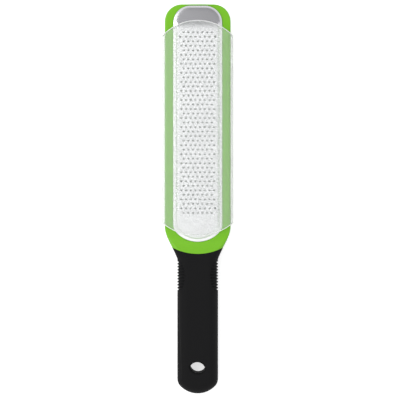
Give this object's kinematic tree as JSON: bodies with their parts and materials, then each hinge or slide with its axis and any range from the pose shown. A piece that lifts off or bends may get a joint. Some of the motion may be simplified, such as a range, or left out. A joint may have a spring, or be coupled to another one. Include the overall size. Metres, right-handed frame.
{
  "type": "rasp zester",
  "caption": "Long flat rasp zester: an etched steel grating plate in a moulded frame on a soft oval grip, with a translucent cover that slides off over the tip.",
  "frame": {"origin": "centre of the bounding box's footprint, on the table that the zester lies on", "axes": "+Y along the tool to its tip, +Z out of the grating face, +X across it to the right when seen from above with the tip up"},
  "size_m": [0.06, 0.33, 0.02],
  "materials": {
    "green_moulding": "glossy moulded ABS",
    "etched_sheet": "satin etched stainless sheet",
    "soft_grip": "matt thermoplastic elastomer",
    "soft_foot": "matt thermoplastic elastomer",
    "clear_cover": "frosted polypropylene"
  },
  "bodies": {
    "root": {"head_frame": "green_moulding", "grating_plate": "etched_sheet", "grip": "soft_grip", "tip_foot": "soft_foot"},
    "cover": {"cover": "clear_cover"}
  },
  "joints": [
    {"name": "cover_slide", "type": "slide", "parent": "root", "child": "cover", "axis": [0, 1, 0], "range_m": [0, 0.2]}
  ]
}
